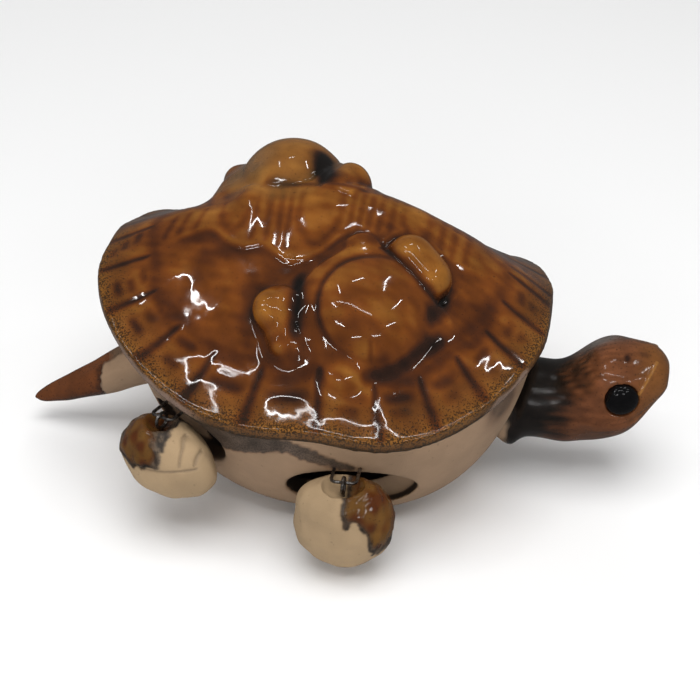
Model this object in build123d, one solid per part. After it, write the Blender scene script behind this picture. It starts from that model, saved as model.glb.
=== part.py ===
"""Ceramic turtle figurine: a hollow body whose head, tail and feet hang on wire links and bob.

Millimetres. +X points to the head, +Z up. The origin is on the flat base, below the shell's widest line.
"""
from build123d import *
from collections import namedtuple
import math
import os

# Carapace: plan outline, ridge and rim
SHELL_REAR = 48.4
SHELL_FRONT = 42.6
SHELL_HALF_WIDTH = 39.2
SHELL_SQUARENESS = 2.5
RIDGE_TOP = 62.5
RIDGE_REAR_END = 47.6
RIDGE_FRONT_END = 40.2
RIDGE_CURVE = 1.5
RIDGE_ROUNDING = 4.0
RIM_SIDE_HEIGHT = 30.5
RIM_THICKNESS = 2.6
FLANK_BULGE = 1.6
FLANK_END_SLOPE = 0.2
FLANK_SLOPE_CURVE = 2.35

# Belly: a bowl from the flat base up to the rim, with its own reach and rise each way
BASE_REAR = 20.0
BASE_FRONT = 18.0
BASE_HALF_WIDTH = 18.0
BELLY_REAR = 46.5
BELLY_FRONT = 41.2
BELLY_HALF_WIDTH = 38.4
BELLY_REAR_RISE = 60.0
BELLY_FRONT_RISE = 45.0
BELLY_SIDE_RISE = 37.0
BELLY_REAR_SQUARENESS = 2.2
BELLY_FRONT_SQUARENESS = 2.3
WALL = 3.6
ROOF_WALL = 4.7

# Baby turtles moulded on the carapace: a domed shell on a lip, a snub head and lumps for the flippers and tail;
# the lean is the share of the carapace's slope that a baby lies along
BABY_RADIUS = 10.9
BABY_HEIGHT = 8.6
BABY_LIP_RADIUS = 12.5
BABY_LIP_HEIGHT = 5.0
BABY_HEAD_LENGTH = 9.4
BABY_HEAD_WIDTH = 14.6
BABY_HEAD_BEARING = 82.0
LUMP_LEAN = 45.0
Lump = namedtuple("Lump", "ahead left up radius height")
NEAR_BABY_X = 9.0
NEAR_BABY_Y = -20.9
NEAR_BABY_HEADING = 61.0
NEAR_BABY_LEAN = 1.0
NEAR_BABY_LIFT = 0.0
NEAR_BABY_HEAD_PLACE = (12.8, 0.0, 0.0)
NEAR_BABY_LUMPS = [
    Lump(7.6, 10.4, 0.0, 3.2, 1.9),
    Lump(7.3, -10.4, 0.0, 3.2, 1.7),
    Lump(-12.3, 12.4, 0.0, 4.3, 2.5),
    Lump(-16.0, 6.4, 0.0, 2.9, 1.8),
    Lump(-11.9, -4.8, 0.0, 4.3, 2.6),
]
FAR_BABY_X = -12.0
FAR_BABY_Y = 10.4
FAR_BABY_HEADING = -18.0
FAR_BABY_LEAN = 0.0
FAR_BABY_LIFT = 2.3
FAR_BABY_HEAD_PLACE = (11.8, -1.0, 1.4)
FAR_BABY_LUMPS = [
    Lump(7.6, 10.4, -1.0, 3.6, 2.6),
    Lump(-2.0, -12.6, 1.0, 4.0, 2.6),
    Lump(-10.8, -5.2, -3.4, 4.8, 5.0),
    Lump(-14.5, 2.0, -3.6, 4.2, 4.6),
    Lump(-9.5, 11.0, -2.6, 4.3, 3.2),
]

# Wire links: a staple fixed in the body, and an eye on a stem fixed in the hanging piece
WIRE_DIAMETER = 0.66
WIRE_FIT = 0.05
LINK_GAP = 0.12
STAPLE_WIDTH = 4.8
STAPLE_BEND = 0.9
STAPLE_DROP = 2.4
STAPLE_EMBED = 2.4
EYE_INNER_DIAMETER = 2.4
EYE_STEM = 3.4
EYE_STAND_OFF = 0.25

# Legs: where each link leaves the wall, and the hole below it
LINK_REACH = 4.4
FRONT_LEG_X = 6.9
FRONT_LEG_YAW = 0.0
FRONT_PIVOT_HEIGHT = 20.7
FRONT_HOLE_WIDTH = 25.0
FRONT_HOLE_HEIGHT = 13.0
REAR_LEG_X = -27.8
REAR_LEG_YAW = 22.0
REAR_PIVOT_HEIGHT = 27.05
REAR_HOLE_WIDTH = 21.0
REAR_HOLE_HEIGHT = 12.5
HOLE_TOP_BELOW_PIVOT = 1.1

# Feet
FRONT_FOOT_WIDTH = 19.2
FRONT_FOOT_HEIGHT = 19.4
FRONT_FOOT_DROP = 9.5
FRONT_FOOT_WIDEST = 0.4
FRONT_FOOT_POINT = 0.25
REAR_FOOT_LENGTH = 21.6
REAR_FOOT_HEIGHT = 16.8
REAR_FOOT_DROP = 8.9
REAR_FOOT_OFFSET = 1.3
REAR_FOOT_PITCH = 10.0
REAR_FOOT_TOE = 0.18
REAR_FOOT_STATIONS = [-0.99, -0.94, -0.78, -0.45, 0.0, 0.45, 0.78, 0.94, 0.99]
FOOT_THICKNESS = 13.4
DISH_RADIUS = 4.6

# Head and neck
NECK_AXIS_HEIGHT = 17.0
NECK_RADIUS = 8.5
NECK_INNER_X = 33.0
NECK_OUTER_X = 45.0
NECK_CLEARANCE = 1.6
COUNTERPOISE_RADIUS = 7.6
COUNTERPOISE_ROUNDING = 3.0
HEAD_SQUARENESS = 2.3
Section = namedtuple("Section", "x z half_width half_height")
HEAD_SECTIONS = [
    Section(49.0, 18.3, 8.7, 9.2),
    Section(54.0, 20.8, 9.7, 10.4),
    Section(58.5, 21.8, 9.5, 9.8),
    Section(62.6, 23.7, 7.5, 7.4),
    Section(65.6, 25.2, 4.6, 4.4),
    Section(67.0, 25.7, 2.0, 1.9),
]

# Eyes: domed beads of black glaze seated in shallow sockets
EYE_X = 57.8
EYE_HEIGHT = 23.8
EYE_RADIUS = 3.4
EYE_DOME = 1.9
EYE_SEAT_HALF_SPAN = 8.6
EYE_SOCKET_DEPTH = 1.2
EYE_SOCKET_FIT = 0.05
EYE_FORWARD_ANGLE = 14.0

# Tail
TAIL_INNER_X = -36.0
TAIL_CLEARANCE = 1.6
TAIL_TONGUE_RADIUS = 5.4
TAIL_TONGUE_ROUNDING = 2.0
TAIL_SQUARENESS = 2.1
TAIL_SECTIONS = [
    Section(-41.5, 19.4, 5.8, 6.2),
    Section(-47.0, 16.3, 5.0, 5.4),
    Section(-55.0, 12.0, 3.9, 4.1),
    Section(-63.0, 8.2, 2.5, 2.6),
    Section(-68.4, 5.8, 1.1, 1.2),
    Section(-69.6, 5.3, 0.5, 0.5),
]

# Sampling of the free-form surfaces
OUTLINE_POINTS = 24
SECTION_POINTS = 16
ROUND = 2.0
SLOPE_STEP = 0.5
ROOF_MARGIN = 1.08
ROOF_STATIONS = [0.2, 0.42, 0.64, 0.82, 0.95, ROOF_MARGIN]
ROOF_RAYS = [0.08, 0.2, 0.4, 0.62, 0.84, ROOF_MARGIN]
BELLY_LEVELS = [0.0, 0.025, 0.08, 0.18, 0.32, 0.5, 0.72, 1.0]
CUT_REACH = 30.0

WIRE_RADIUS = WIRE_DIAMETER / 2
EYE_RING_RADIUS = (EYE_INNER_DIAMETER + WIRE_DIAMETER) / 2
EYE_RING_DROP = EYE_INNER_DIAMETER / 2 - WIRE_RADIUS - LINK_GAP
EYE_BOTTOM_DROP = EYE_RING_DROP + EYE_RING_RADIUS + WIRE_RADIUS
SEAT_DROP = EYE_BOTTOM_DROP + EYE_STAND_OFF


def superellipse(rear, front, half_width, rear_power, front_power, count):
    """Points of a closed plan outline whose rear and front halves have their own reach."""
    points = []
    for index in range(count):
        angle = 2 * math.pi * index / count
        ahead = math.cos(angle)
        aside = math.sin(angle)
        reach, power = (front, front_power) if ahead >= 0 else (rear, rear_power)
        x = math.copysign(abs(ahead) ** (2 / power), ahead) * reach
        y = math.copysign(abs(aside) ** (2 / power), aside) * half_width
        points.append((x, y))
    return points


def plan_wire(points, z):
    return Wire([Spline(*[(x, y, z) for x, y in points], periodic=True)])


def section_wire(section, power):
    """Closed section across X with rounded corners, for the head and the tail."""
    ring = superellipse(section.half_width, section.half_width, section.half_height, power, power, SECTION_POINTS)
    return Wire([Spline(*[(section.x, y, section.z + z) for y, z in ring], periodic=True)])


def shell_reach(x):
    return SHELL_REAR if x < 0 else SHELL_FRONT


def outline_half_width(x):
    share = min(1.0, abs(x) / shell_reach(x))
    return SHELL_HALF_WIDTH * (1 - share ** SHELL_SQUARENESS) ** (1 / SHELL_SQUARENESS)


def roof_height(x, y):
    """Height of the carapace: an arched ridge with flanks that flatten towards both ends."""
    end = RIDGE_REAR_END if x < 0 else RIDGE_FRONT_END
    share = abs(x) / shell_reach(x)
    ridge = RIDGE_TOP - (RIDGE_TOP - end) * share ** RIDGE_CURVE
    run = math.hypot(y, RIDGE_ROUNDING) - RIDGE_ROUNDING
    full_run = math.hypot(SHELL_HALF_WIDTH, RIDGE_ROUNDING) - RIDGE_ROUNDING
    middle_slope = (RIDGE_TOP - RIM_SIDE_HEIGHT) / full_run
    steepness = 1 - share ** FLANK_SLOPE_CURVE
    slope = FLANK_END_SLOPE + (middle_slope - FLANK_END_SLOPE) * steepness
    bulge = FLANK_BULGE * steepness * math.sin(math.pi * abs(y) / SHELL_HALF_WIDTH) ** 2
    return ridge - slope * run + bulge


def rim_height(x):
    return roof_height(x, outline_half_width(x))


def along_shell():
    """Stations along X, from past the rear end to past the front end."""
    rear = [-SHELL_REAR * share for share in reversed(ROOF_STATIONS)]
    front = [SHELL_FRONT * share for share in ROOF_STATIONS]
    return rear + [0.0] + front


def roof_solid(lowering):
    """Everything under the carapace surface, lowered by the given height."""
    side = [SHELL_HALF_WIDTH * share for share in ROOF_RAYS]
    across = [-y for y in reversed(side)] + [0.0] + side
    wires = []
    for x in along_shell():
        crown = Spline(*[(x, y, roof_height(x, y) - lowering) for y in across])
        skirt = Polyline(crown @ 1, (x, across[-1], -WALL), (x, across[0], -WALL), crown @ 0)
        wires.append(Wire([crown, *skirt.edges()]))
    return Solid.make_loft(wires)


def quarter_rise(z, base, top, rise):
    """Reach of the belly wall at height z: a quarter ellipse from the base's edge upwards."""
    left = 1 - max(0.0, min(z, rise)) / rise
    return base + (top - base) * math.sqrt(1 - left * left)


def belly_reaches(z):
    rear = quarter_rise(z, BASE_REAR, BELLY_REAR, BELLY_REAR_RISE)
    front = quarter_rise(z, BASE_FRONT, BELLY_FRONT, BELLY_FRONT_RISE)
    half_width = quarter_rise(z, BASE_HALF_WIDTH, BELLY_HALF_WIDTH, BELLY_SIDE_RISE)
    return rear, front, half_width


def belly_solid(inset, lift):
    """The belly bowl up to the ridge's end, drawn in by inset and raised by lift for its hollow."""
    wires = []
    for share in BELLY_LEVELS:
        level = share * RIDGE_REAR_END
        rear, front, half_width = [reach - inset for reach in belly_reaches(level)]
        ring = superellipse(
            rear, front, half_width, BELLY_REAR_SQUARENESS, BELLY_FRONT_SQUARENESS, OUTLINE_POINTS
        )
        wires.append(plan_wire(ring, level + lift))
    return Solid.make_loft(wires)


def rim_solid():
    """The overhanging rim: the plan outline above a saddle that follows the rim's arch."""
    ring = superellipse(
        SHELL_REAR, SHELL_FRONT, SHELL_HALF_WIDTH, SHELL_SQUARENESS, SHELL_SQUARENESS, OUTLINE_POINTS
    )
    prism = extrude(Face(plan_wire(ring, 0)), RIDGE_TOP + CUT_REACH, dir=(0, 0, 1))
    top = RIDGE_TOP + CUT_REACH
    saddle = Spline(*[(x, -SHELL_HALF_WIDTH * ROOF_MARGIN, rim_height(x) - RIM_THICKNESS) for x in along_shell()])
    end = saddle @ 1
    start = saddle @ 0
    lid = Polyline(end, (end.X, end.Y, top), (start.X, start.Y, top), start)
    above = extrude(
        Face(Wire([saddle, *lid.edges()])), 2 * SHELL_HALF_WIDTH * ROOF_MARGIN, dir=(0, 1, 0)
    )
    return prism & above


def cap(base_radius, height):
    """Ball sunk into the XY plane until it stands out by height, over a circle of the base radius."""
    radius = (base_radius ** 2 + height ** 2) / (2 * height)
    return Pos(0, 0, height - radius) * Sphere(radius)


def baby_lump(lump):
    """Flipper or tail of a baby: a cap whose poles lean outwards, away from the baby's shell."""
    bearing = math.degrees(math.atan2(lump.left, lump.ahead))
    ball = cap(lump.radius, lump.height)
    leaning = Pos(ball.center()) * Rot(0, 0, bearing) * Rot(0, LUMP_LEAN, 0) * Pos(-ball.center())
    return Pos(lump.ahead, lump.left, lump.up) * leaning * ball


def baby_head():
    """Snub head of a baby, lying across its heading."""
    radius = BABY_HEAD_LENGTH / 2
    half = BABY_HEAD_WIDTH / 2 - radius
    corner = radius * math.sqrt(0.5)
    with BuildSketch() as outline:
        with BuildLine():
            Line((-half - radius, 0), (half + radius, 0))
            ThreePointArc((half + radius, 0), (half + corner, corner), (half, radius))
            Line((half, radius), (-half, radius))
            ThreePointArc((-half, radius), (-half - corner, corner), (-half - radius, 0))
        make_face()
    return Rot(0, 0, BABY_HEAD_BEARING) * revolve(outline.sketch, Axis.X)


def baby_turtle(head_place, lumps):
    """Baby turtle in its own frame: heading along +X, with its shell's edge on the XY plane."""
    baby = cap(BABY_LIP_RADIUS, BABY_LIP_HEIGHT) + cap(BABY_RADIUS, BABY_HEIGHT)
    baby += Pos(*head_place) * baby_head()
    for lump in lumps:
        baby += baby_lump(lump)
    return baby


def flank_plane(x, y, heading, lean, lift):
    """Plane on the carapace at (x, y), leaning with its slope and raised by lift, its X turned by heading."""
    share = lean / (2 * SLOPE_STEP)
    rise_x = share * (roof_height(x + SLOPE_STEP, y) - roof_height(x - SLOPE_STEP, y))
    rise_y = share * (roof_height(x, y + SLOPE_STEP) - roof_height(x, y - SLOPE_STEP))
    along = Vector(1, 0, rise_x).normalized()
    normal = Vector(-rise_x, -rise_y, 1).normalized()
    turned = along.rotate(Axis((0, 0, 0), normal), heading)
    origin = Vector(x, y, roof_height(x, y)) + normal * lift
    return Plane(origin=origin, x_dir=turned, z_dir=normal)


def staple(radius, stand_off):
    """U of wire: its bar lies along X through the origin and its ends run along +Y, into the clay."""
    end = stand_off + STAPLE_EMBED
    half = STAPLE_WIDTH / 2
    path = FilletPolyline((-half, end), (-half, 0), (half, 0), (half, end), radius=STAPLE_BEND)
    return sweep(Plane(origin=path @ 0, z_dir=path % 0) * Circle(radius), path)


def wire_eye(stem_radius):
    """Ring around a bar along X through the origin, with a stem that runs down into its piece."""
    ring = Pos(0, 0, -EYE_RING_DROP) * Rot(0, 90, 0) * Torus(EYE_RING_RADIUS, WIRE_RADIUS)
    stem_top = EYE_RING_DROP + EYE_RING_RADIUS
    stem = Pos(0, 0, -stem_top - EYE_STEM / 2) * Cylinder(stem_radius, EYE_STEM)
    return ring + stem


def stem_socket():
    """Blind hole for a wire eye's stem."""
    depth = EYE_STEM + WIRE_FIT
    stem_top = EYE_RING_DROP + EYE_RING_RADIUS
    return Pos(0, 0, -stem_top - depth / 2) * Cylinder(WIRE_RADIUS + WIRE_FIT, depth)


def leg_frames(x, yaw, height, side):
    """Frames at a leg's pivot, side -1 right and 1 left: the staple's with Y inwards, the foot's with X ahead."""
    rear, front, half_width = belly_reaches(height)
    reach, power = (rear, BELLY_REAR_SQUARENESS) if x < 0 else (front, BELLY_FRONT_SQUARENESS)
    wall_y = half_width * (1 - (abs(x) / reach) ** power) ** (1 / power)
    inward = Vector(0, -side, 0).rotate(Axis.Z, side * yaw)
    ahead = Vector(1, 0, 0).rotate(Axis.Z, side * yaw)
    pivot = Vector(x, side * wall_y, height) - inward * LINK_REACH
    fixed = Plane(origin=pivot, x_dir=inward.cross(Vector(0, 0, 1)), z_dir=(0, 0, 1))
    hung = Plane(origin=pivot, x_dir=ahead, z_dir=(0, 0, 1))
    return fixed, hung


def leg_hole(width, height):
    """Oval hole through the wall, below the pivot of a leg frame."""
    middle = -HOLE_TOP_BELOW_PIVOT - height / 2
    oval = Plane.XZ * Pos(0, middle) * Ellipse(width / 2, height / 2)
    return extrude(oval, CUT_REACH / 2, dir=(0, 1, 0))


def hung_foot(lump, drop):
    """Foot in its leg frame: the lump below the pivot, dished at the top to take the wire eye."""
    dish = Pos(0, 0, DISH_RADIUS - SEAT_DROP) * Sphere(DISH_RADIUS)
    return Pos(0, 0, -drop) * lump - dish - stem_socket()


def front_foot_lump():
    """Round pinched ball of clay, a little pointed below."""
    radius = FRONT_FOOT_WIDTH / 2
    half = FRONT_FOOT_HEIGHT / 2
    side = Spline((0, half), (radius, FRONT_FOOT_WIDEST), (0, -half), tangents=[(1, 0), (0, -1), (-1, -FRONT_FOOT_POINT)])
    ball = revolve(Plane.XZ * make_face([side, Line(side @ 1, side @ 0)]), Axis.Z)
    return scale(ball, by=(1, FOOT_THICKNESS / FRONT_FOOT_WIDTH, 1))


def rear_foot_lump():
    """Longer lump with a blunt heel and a narrower toe, tipped forward."""
    half = REAR_FOOT_LENGTH / 2
    wires = []
    for share in REAR_FOOT_STATIONS:
        toe = REAR_FOOT_TOE * max(0.0, share)
        swell = (1 - toe) * math.sqrt(1 - share * share)
        section = Section(share * half, 0, swell * FOOT_THICKNESS / 2, swell * REAR_FOOT_HEIGHT / 2)
        wires.append(section_wire(section, ROUND))
    return Pos(REAR_FOOT_OFFSET, 0, 0) * Rot(0, REAR_FOOT_PITCH, 0) * Solid.make_loft(wires)


def balanced_tongue(pieces, pivot_x, start_x, height, radius, rounding, direction):
    """Inner tongue, round in section, long enough to bring the pieces' weight under their pivot."""
    area = math.pi * radius * radius
    moment = abs(sum(piece.volume * (piece.center(CenterOf.MASS).X - pivot_x) for piece in pieces))
    offset = abs(start_x - pivot_x)
    rounded_away = 2 * (1 - math.pi / 4) * rounding ** 2 / radius
    length = math.sqrt(offset * offset + 2 * moment / area) - offset + rounded_away
    tongue = Cylinder(radius, length, rotation=(0, 90, 0))
    tongue = fillet(tongue.edges().sort_by(Axis.X)[0 if direction < 0 else -1], rounding)
    return Pos(start_x + direction * length / 2, 0, height) * tongue


def link_at(x, z):
    """Frames of a link whose bar lies across the turtle: the staple's, and the wire eye's."""
    hung = Plane(origin=(x, 0, z), x_dir=(0, 1, 0), z_dir=(0, 0, 1))
    fixed = Plane(origin=(x, 0, z), x_dir=(0, 1, 0), z_dir=(1, 0, 0))
    return fixed, hung


def end_opening(middle_x, half_width, bottom, top):
    """Oval opening through an end wall of the body."""
    oval = Plane.YZ * Pos(0, (bottom + top) / 2) * Ellipse(half_width, (top - bottom) / 2)
    return Pos(middle_x - CUT_REACH / 2, 0, 0) * extrude(oval, CUT_REACH, dir=(1, 0, 0))


# Neck and tail links hang in the middle of the wall above their openings
neck_pivot_z = NECK_AXIS_HEIGHT + NECK_RADIUS + SEAT_DROP
neck_opening_top = neck_pivot_z + STAPLE_DROP
neck_pivot_x = belly_reaches(neck_opening_top)[1] - WALL / 2
neck_staple_frame, neck_eye_frame = link_at(neck_pivot_x, neck_pivot_z)

tail_root = TAIL_SECTIONS[0]
tail_pivot_z = tail_root.z + tail_root.half_height + SEAT_DROP
tail_opening_top = tail_pivot_z + STAPLE_DROP
tail_pivot_x = -(belly_reaches(tail_opening_top)[0] - WALL / 2)
tail_staple_frame, tail_eye_frame = link_at(tail_pivot_x, tail_pivot_z)

legs = {}
for side_name, side in (("right", -1), ("left", 1)):
    legs[f"front_{side_name}"] = leg_frames(FRONT_LEG_X, FRONT_LEG_YAW, FRONT_PIVOT_HEIGHT, side)
    legs[f"rear_{side_name}"] = leg_frames(REAR_LEG_X, REAR_LEG_YAW, REAR_PIVOT_HEIGHT, side)


def make_body():
    outer = (belly_solid(0, 0) + rim_solid()) & roof_solid(0)
    hollow = belly_solid(WALL, WALL) & roof_solid(ROOF_WALL)
    body = outer - hollow
    under_skin = roof_solid(WALL)
    near_plane = flank_plane(NEAR_BABY_X, NEAR_BABY_Y, NEAR_BABY_HEADING, NEAR_BABY_LEAN, NEAR_BABY_LIFT)
    far_plane = flank_plane(FAR_BABY_X, FAR_BABY_Y, FAR_BABY_HEADING, FAR_BABY_LEAN, FAR_BABY_LIFT)
    body += near_plane * baby_turtle(NEAR_BABY_HEAD_PLACE, NEAR_BABY_LUMPS) - under_skin
    body += far_plane * baby_turtle(FAR_BABY_HEAD_PLACE, FAR_BABY_LUMPS) - under_skin
    body -= end_opening(
        neck_pivot_x,
        NECK_RADIUS + NECK_CLEARANCE,
        NECK_AXIS_HEIGHT - NECK_RADIUS - NECK_CLEARANCE,
        neck_opening_top,
    )
    body -= end_opening(
        tail_pivot_x,
        tail_root.half_width + TAIL_CLEARANCE,
        tail_root.z - tail_root.half_height - TAIL_CLEARANCE,
        tail_opening_top,
    )
    end_staple = staple(WIRE_RADIUS + WIRE_FIT, STAPLE_DROP)
    leg_staple = staple(WIRE_RADIUS + WIRE_FIT, LINK_REACH)
    body -= neck_staple_frame * end_staple
    body -= tail_staple_frame * end_staple
    holes = {
        "front": leg_hole(FRONT_HOLE_WIDTH, FRONT_HOLE_HEIGHT),
        "rear": leg_hole(REAR_HOLE_WIDTH, REAR_HOLE_HEIGHT),
    }
    for place, (fixed, hung) in legs.items():
        body -= fixed * holes[place.split("_")[0]]
        body -= fixed * leg_staple
    return body


def make_head():
    neck_rings = [
        Section(x, NECK_AXIS_HEIGHT, NECK_RADIUS, NECK_RADIUS)
        for x in (NECK_INNER_X, (NECK_INNER_X + NECK_OUTER_X) / 2, NECK_OUTER_X)
    ]
    head = Solid.make_loft(
        [section_wire(ring, ROUND) for ring in neck_rings]
        + [section_wire(section, HEAD_SQUARENESS) for section in HEAD_SECTIONS]
    )
    for side in (-1, 1):
        head -= eye_frame(side) * eye_socket()
    head -= neck_eye_frame * stem_socket()
    eyes = [eye_frame(side) * eye_bead() for side in (-1, 1)]
    return head + balanced_tongue(
        [head, *eyes],
        neck_pivot_x,
        NECK_INNER_X,
        NECK_AXIS_HEIGHT,
        COUNTERPOISE_RADIUS,
        COUNTERPOISE_ROUNDING,
        -1,
    )


def eye_frame(side):
    """Frame of an eye's seat, its Z pointing out of the head; side is -1 right, 1 left."""
    out = Vector(0, side, 0).rotate(Axis.Z, -side * EYE_FORWARD_ANGLE)
    return Plane(origin=(EYE_X, side * EYE_SEAT_HALF_SPAN, EYE_HEIGHT), x_dir=(0, 0, 1), z_dir=out)


def eye_socket():
    depth = EYE_SOCKET_DEPTH
    reach = EYE_DOME + EYE_RADIUS
    return Pos(0, 0, (reach - depth) / 2) * Cylinder(EYE_RADIUS + EYE_SOCKET_FIT, reach + depth)


def eye_bead():
    """Domed bead that seats on the socket's floor."""
    dome = EllipticalCenterArc((0, 0), EYE_RADIUS, EYE_DOME, 90, arc_size=-90)
    back = Polyline(dome @ 1, (EYE_RADIUS, -EYE_SOCKET_DEPTH), (0, -EYE_SOCKET_DEPTH), dome @ 0)
    return revolve(Plane.XZ * make_face([dome, *back.edges()]), Axis.Z)


def make_tail():
    root = tail_root._replace(x=TAIL_INNER_X)
    cone = Solid.make_loft(
        [section_wire(section, TAIL_SQUARENESS) for section in [root] + TAIL_SECTIONS]
    )
    tail = cone - tail_eye_frame * stem_socket()
    return tail + balanced_tongue(
        [tail], tail_pivot_x, TAIL_INNER_X, tail_root.z, TAIL_TONGUE_RADIUS, TAIL_TONGUE_ROUNDING, 1
    )


def make_parts():
    end_staple = staple(WIRE_RADIUS, STAPLE_DROP)
    leg_staple = staple(WIRE_RADIUS, LINK_REACH)
    hook = wire_eye(WIRE_RADIUS)
    parts = {
        "shell_body": make_body(),
        "head": make_head(),
        "right_eye": eye_frame(-1) * eye_bead(),
        "left_eye": eye_frame(1) * eye_bead(),
        "tail": make_tail(),
        "neck_staple": neck_staple_frame * end_staple,
        "tail_staple": tail_staple_frame * end_staple,
        "head_hook": neck_eye_frame * hook,
        "tail_hook": tail_eye_frame * hook,
    }
    feet = {
        "front": hung_foot(front_foot_lump(), FRONT_FOOT_DROP),
        "rear": hung_foot(rear_foot_lump(), REAR_FOOT_DROP),
    }
    for place, (fixed, hung) in legs.items():
        parts[f"{place}_foot"] = hung * feet[place.split("_")[0]]
        parts[f"{place}_foot_hook"] = hung * hook
        parts[f"{place}_leg_staple"] = fixed * leg_staple
    return parts


os.makedirs("parts", exist_ok=True)
for node, shape in make_parts().items():
    export_step(shape, f"parts/{node}.step")
    centre = shape.center(CenterOf.MASS)
    print(f"{node}: {shape.volume:.1f} mm3, weight at ({centre.X:.3f}, {centre.Y:.3f}, {centre.Z:.3f})")
pivots = {"head": neck_eye_frame, "tail": tail_eye_frame}
pivots.update({place: hung for place, (fixed, hung) in legs.items()})
for name, frame in pivots.items():
    print(f"{name} pivot: {tuple(frame.origin)}, bar along {tuple(frame.x_dir)}")
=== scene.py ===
import math
from collections import namedtuple

import bmesh
import bpy
import numpy as np
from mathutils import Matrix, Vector


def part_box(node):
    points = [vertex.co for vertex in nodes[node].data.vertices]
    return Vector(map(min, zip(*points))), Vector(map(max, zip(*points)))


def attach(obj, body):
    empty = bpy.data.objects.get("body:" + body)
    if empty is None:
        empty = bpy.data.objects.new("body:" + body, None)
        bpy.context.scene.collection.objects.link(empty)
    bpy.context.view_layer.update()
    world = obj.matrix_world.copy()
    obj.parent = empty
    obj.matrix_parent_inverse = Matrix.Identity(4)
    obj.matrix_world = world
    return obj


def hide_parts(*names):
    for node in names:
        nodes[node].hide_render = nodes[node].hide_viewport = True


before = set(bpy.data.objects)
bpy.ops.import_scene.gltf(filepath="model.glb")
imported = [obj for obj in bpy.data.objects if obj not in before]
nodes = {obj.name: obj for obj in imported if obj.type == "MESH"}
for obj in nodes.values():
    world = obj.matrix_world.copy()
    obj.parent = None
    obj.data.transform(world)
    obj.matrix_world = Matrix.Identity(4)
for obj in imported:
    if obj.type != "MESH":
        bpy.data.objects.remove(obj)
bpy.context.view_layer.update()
MM = 0.001
SAME_PLACE = 1e-6
WAVES = 7


# Small tools: fine skins over CAD nodes, and measures on their points, all in millimetres

def skin(node, name, voxel, soften):
    """New object with a fine even mesh over a CAD node, its edges softened as glaze softens them."""
    mesh = nodes[node].data.copy()
    form = bmesh.new()
    form.from_mesh(mesh)
    bmesh.ops.remove_doubles(form, verts=form.verts, dist=SAME_PLACE)
    form.to_mesh(mesh)
    form.free()
    mesh.materials.clear()
    piece = bpy.data.objects.new(name, mesh)
    bpy.context.scene.collection.objects.link(piece)
    even = piece.modifiers.new("even", "REMESH")
    even.mode = "VOXEL"
    even.voxel_size = voxel * MM
    bpy.context.view_layer.update()
    fine = bpy.data.meshes.new_from_object(piece.evaluated_get(bpy.context.evaluated_depsgraph_get()))
    piece.modifiers.clear()
    piece.data = fine
    bpy.data.meshes.remove(mesh)
    fine.polygons.foreach_set("use_smooth", np.ones(len(fine.polygons), bool))
    put_points(piece, relax(points(piece), edges(piece), soften))
    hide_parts(node)
    return piece


def points(piece):
    """Places of a piece's points, one row each."""
    out = np.empty(len(piece.data.vertices) * 3)
    piece.data.vertices.foreach_get("co", out)
    return out.reshape(-1, 3) / MM


def put_points(piece, places):
    piece.data.vertices.foreach_set("co", (places * MM).ravel())
    piece.data.update()


def normals(piece):
    out = np.empty(len(piece.data.vertices) * 3)
    piece.data.vertex_normals.foreach_get("vector", out)
    return out.reshape(-1, 3)


def edges(piece):
    out = np.empty(len(piece.data.edges) * 2, np.int32)
    piece.data.edges.foreach_get("vertices", out)
    return out.reshape(-1, 2)


def relax(values, pairs, rounds):
    """Values drawn towards the mean of their neighbours, again and again."""
    size = len(values)
    count = np.bincount(pairs.ravel(), minlength=size)
    for _ in range(rounds):
        mean = np.empty_like(values)
        for column in range(values.shape[1]):
            own = values[:, column]
            total = np.bincount(pairs[:, 0], own[pairs[:, 1]], size)
            total += np.bincount(pairs[:, 1], own[pairs[:, 0]], size)
            mean[:, column] = total / count
        values = 0.5 * (values + mean)
    return values


def hollowness(piece, rounds):
    """How far each point lies below its surroundings."""
    here = points(piece)
    return np.einsum("ij,ij->i", relax(here, edges(piece), rounds) - here, normals(piece))


def ramp(low, high, value):
    """Smooth step from 0 at low to 1 at high."""
    share = np.clip((value - low) / (high - low), 0, 1)
    return share * share * (3 - 2 * share)


def wobble(place, size, seed):
    """Smooth noise between about -1 and 1, with lumps of the given size."""
    rng = np.random.default_rng(seed)
    total = np.zeros(len(place))
    for _ in range(WAVES):
        wave = rng.normal(size=3)
        wave *= rng.uniform(0.7, 1.6) * 2 * math.pi / size / np.linalg.norm(wave)
        total += np.sin(place @ wave + rng.uniform(0, 2 * math.pi))
    return total / (WAVES / 2)


def flowing(line, steps=6):
    """A drawn line rounded through its points."""
    line = np.array([line[0], *line, line[-1]], float)
    out = []
    for a, b, c, d in zip(line, line[1:], line[2:], line[3:]):
        for step in range(steps):
            t = step / steps
            out.append(0.5 * (2 * b + (c - a) * t + (2 * a - 5 * b + 4 * c - d) * t * t
                              + (3 * b - a - 3 * c + d) * t ** 3))
    return out + [line[-1]]


def line_distance(line, x, y):
    """Distance of each place from a drawn line."""
    best = np.full(x.shape, 1e3)
    for (ax, ay), (bx, by) in zip(line, line[1:]):
        dx, dy = bx - ax, by - ay
        t = np.clip(((x - ax) * dx + (y - ay) * dy) / max(dx * dx + dy * dy, 1e-9), 0, 1)
        best = np.minimum(best, np.hypot(x - ax - t * dx, y - ay - t * dy))
    return best


def stroke(line, width, x, y):
    """1 on a drawn line, fading over its half width."""
    return np.exp(-(line_distance(flowing(line), x, y) / width) ** 2)


def blot(x, y, middle, reach):
    """1 at a place, fading over its reach each way."""
    return np.exp(-(((x - middle[0]) / reach[0]) ** 2 + ((y - middle[1]) / reach[1]) ** 2))


def mix(low, high, share):
    """Rows between low and high, by each row's share."""
    return low + (high - low) * share[:, None]


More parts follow.
